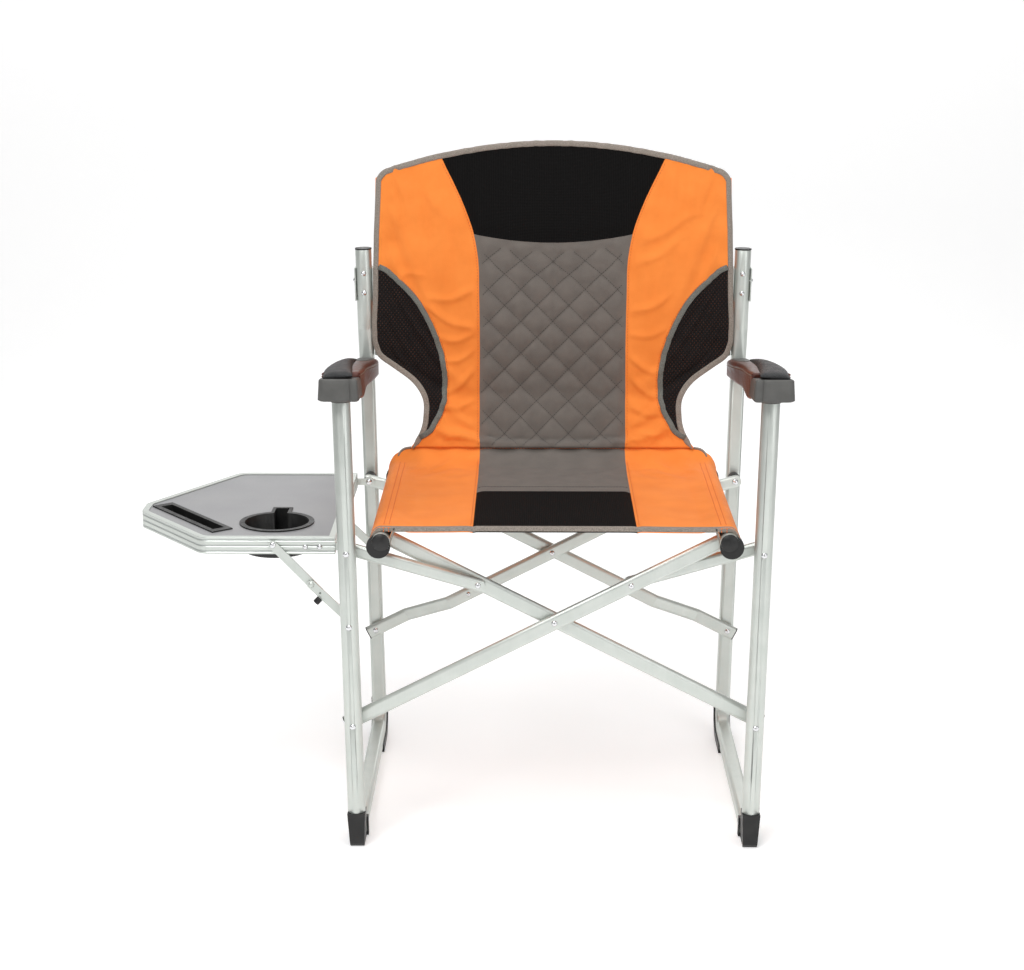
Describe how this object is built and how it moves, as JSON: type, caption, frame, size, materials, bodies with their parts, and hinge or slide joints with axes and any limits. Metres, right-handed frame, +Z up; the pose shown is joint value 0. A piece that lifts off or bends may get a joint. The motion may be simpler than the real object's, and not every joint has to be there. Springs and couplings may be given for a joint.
{
  "type": "folding director chair",
  "caption": "Folding director chair: tubular metal scissor frame, fabric sling seat and swivelling back, armrests, and a fold-down side table with cup holder and phone slot.",
  "frame": {"origin": "under the middle of the bounding box, at floor level", "axes": "+Z up, +Y towards the back of the chair, +X towards the side without the table"},
  "size_m": [0.9142, 0.5018, 0.951],
  "materials": {
    "frame_aluminium": "satin clear-anodised",
    "zinc": "bright zinc plate",
    "black_plastic": "moulded, fine grain",
    "pad_charcoal": "leather-grain soft pad",
    "armrest_brown": "wood-look moulding",
    "table_edge": "grooved, satin",
    "table_board": "fine-textured laminate",
    "seat_fabric": "woven polyester",
    "back_fabric": "woven polyester"
  },
  "bodies": {
    "side_frame_left": {"leg_left": "frame_aluminium", "upright_left": "frame_aluminium", "foot_left": "black_plastic", "heel_guard_left": "black_plastic", "upright_cap_left": "black_plastic", "arm_tube_left": "frame_aluminium", "armrest_left": "armrest_brown", "armrest_pad_left": "pad_charcoal", "armrest_nose_left": "black_plastic", "back_bracket_left": "frame_aluminium", "bracket_screws_left": "zinc", "frame_rivets_left": "zinc", "pivot_spacers_left": "black_plastic"},
    "side_frame_right": {"leg_right": "frame_aluminium", "upright_right": "frame_aluminium", "foot_right": "black_plastic", "heel_guard_right": "black_plastic", "upright_cap_right": "black_plastic", "arm_tube_right": "frame_aluminium", "armrest_right": "armrest_brown", "armrest_pad_right": "pad_charcoal", "armrest_nose_right": "black_plastic", "back_bracket_right": "frame_aluminium", "bracket_screws_right": "zinc", "frame_rivets_right": "zinc", "pivot_spacers_right": "black_plastic"},
    "scissor_a": {"cross_tube_a_front": "frame_aluminium", "cross_tube_a_rear": "frame_aluminium", "tube_plugs_a": "black_plastic", "tube_rivets_a": "zinc", "crossing_bolts": "zinc", "seat_rail_right": "frame_aluminium", "rail_caps_right": "black_plastic", "seat_sling": "seat_fabric"},
    "scissor_b": {"cross_tube_b_front": "frame_aluminium", "cross_tube_b_rear": "frame_aluminium", "tube_plugs_b": "black_plastic", "tube_rivets_b": "zinc", "seat_rail_left": "frame_aluminium", "rail_caps_left": "black_plastic"},
    "link_left": {"link_left_front": "frame_aluminium", "link_left_rear": "frame_aluminium", "saddles_left": "black_plastic", "link_rivets_left": "zinc"},
    "link_right": {"link_right_front": "frame_aluminium", "link_right_rear": "frame_aluminium", "saddles_right": "black_plastic", "link_rivets_right": "zinc"},
    "back_pole_left": {"back_pole_left": "frame_aluminium", "back_sling": "back_fabric"},
    "back_pole_right": {"back_pole_right": "frame_aluminium"},
    "side_table": {"table_frame": "table_edge", "table_top": "table_board", "cup_holder": "black_plastic", "phone_tray": "black_plastic", "table_arms": "frame_aluminium", "table_rivets": "zinc"},
    "strut_upper": {"struts_upper": "frame_aluminium"},
    "strut_lower": {"struts_lower": "frame_aluminium"},
    "lock_knobs": {"lock_knobs": "black_plastic"}
  },
  "joints": [
    {"name": "fold", "type": "hinge", "parent": "side_frame_left", "child": "scissor_a", "pos_m": [-0.14094, -0.206, 0.18002], "axis": [0, -1, 0], "range_deg": [0, 49], "deforming": ["seat_sling", "back_sling"]},
    {"name": "crossing", "type": "hinge", "parent": "scissor_a", "child": "scissor_b", "pos_m": [0.13992, -0.206, 0.3243], "axis": [0, -1, 0], "range_deg": [-106, 0.5]},
    {"name": "right_foot_pivot", "type": "hinge", "parent": "scissor_b", "child": "side_frame_right", "pos_m": [0.42077, -0.206, 0.18002], "axis": [0, -1, 0], "range_deg": [-0.5, 50]},
    {"name": "link_left_pivot", "type": "hinge", "parent": "side_frame_left", "child": "link_left", "pos_m": [-0.14535, -0.206, 0.43038], "axis": [0, -1, 0], "range_deg": [-0.5, 86.5]},
    {"name": "link_right_pivot", "type": "hinge", "parent": "side_frame_right", "child": "link_right", "pos_m": [0.42518, -0.206, 0.43038], "axis": [0, -1, 0], "range_deg": [-86.5, 0.5]},
    {"name": "table_fold", "type": "hinge", "parent": "side_frame_left", "child": "side_table", "pos_m": [-0.14535, -0.206, 0.43038], "axis": [0, -1, 0], "range_deg": [0, 85]},
    {"name": "strut_low_pivot", "type": "hinge", "parent": "side_frame_left", "child": "strut_lower", "pos_m": [-0.1435, -0.206, 0.3253], "axis": [0, -1, 0], "range_deg": [-0.5, 130]},
    {"name": "strut_top_pivot", "type": "hinge", "parent": "side_table", "child": "strut_upper", "pos_m": [-0.24979, -0.206, 0.4337], "axis": [0, -1, 0], "range_deg": [-125, 0.5]},
    {"name": "knob_pull", "type": "slide", "parent": "strut_lower", "child": "lock_knobs", "axis": [-0.6999, 0, -0.7143], "range_m": [0, 0.003], "stiffness_N_per_m": 400},
    {"name": "back_tilt_left", "type": "hinge", "parent": "side_frame_left", "child": "back_pole_left", "pos_m": [-0.15082, 0.234, 0.74044], "axis": [0.9998, 0, 0.0176], "range_deg": [-4, 4]},
    {"name": "back_tilt_right", "type": "hinge", "parent": "side_frame_right", "child": "back_pole_right", "pos_m": [0.43065, 0.234, 0.74044], "axis": [0.9998, 0, -0.0176], "range_deg": [-4.1, 4.1]}
  ],
  "couplings": [
    {"joint": "crossing", "follows": "fold", "ratio": -2.1423},
    {"joint": "right_foot_pivot", "follows": "fold", "ratio": 1},
    {"joint": "link_left_pivot", "follows": "fold", "ratio": 1.7444},
    {"joint": "link_right_pivot", "follows": "fold", "ratio": -1.7444},
    {"joint": "strut_low_pivot", "follows": "table_fold", "ratio": 1.5132},
    {"joint": "strut_top_pivot", "follows": "table_fold", "ratio": -1.4508},
    {"joint": "back_tilt_right", "follows": "back_tilt_left", "ratio": 1}
  ]
}
